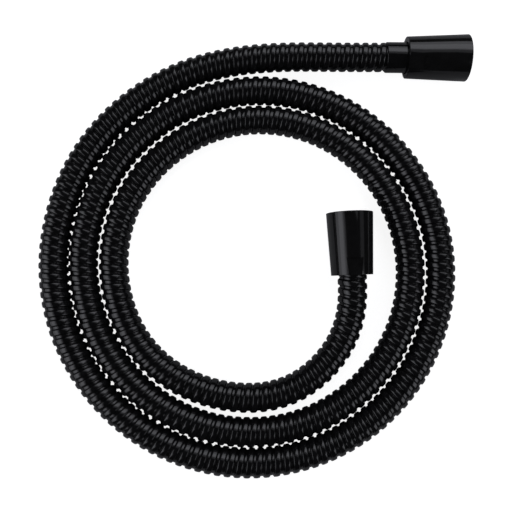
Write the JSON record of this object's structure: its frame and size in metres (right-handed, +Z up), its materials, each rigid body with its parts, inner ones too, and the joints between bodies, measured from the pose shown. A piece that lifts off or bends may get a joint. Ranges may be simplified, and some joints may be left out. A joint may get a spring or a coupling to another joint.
{
  "type": "shower hose",
  "caption": "Flexible interlocked metal shower hose lying in a flat spiral, with a conical swivelling coupling nut, a crimped sleeve, a brass tail and a washer at each end.",
  "frame": {"origin": "on the surface the hose rests on, under the middle of the whole object's box", "axes": "+Z up from that surface; +X along the outer fitting, out of its nut; +Y along the inner fitting, out of its nut, to within 3 degrees"},
  "size_m": [0.2143, 0.2206, 0.023],
  "materials": {
    "armour": "glossy black coating over wound steel strip",
    "sleeve": "glossy black coating over a drawn sleeve",
    "nut": "glossy black coating over turned brass",
    "brass": "as turned",
    "tube": "milky extruded tube",
    "washer": "moulded black rubber"
  },
  "bodies": {
    "hose": {"hose_armour": "armour", "inner_tube": "tube", "ferrule_outer": "sleeve", "ferrule_inner": "sleeve", "insert_outer": "brass", "insert_inner": "brass", "washer_outer": "washer", "washer_inner": "washer"},
    "outer_nut": {"nut_outer": "nut"},
    "inner_nut": {"nut_inner": "nut"}
  },
  "joints": [
    {"name": "outer_nut_spin", "type": "hinge", "parent": "hose", "child": "outer_nut", "pos_m": [0.07596, 0.09908, 0.01019], "axis": [0.9991, -0.0101, 0.0424], "continuous": true},
    {"name": "inner_nut_spin", "type": "hinge", "parent": "hose", "child": "inner_nut", "pos_m": [0.04689, -0.01206, 0.01019], "axis": [-0.0394, 0.9983, 0.0424], "continuous": true}
  ]
}
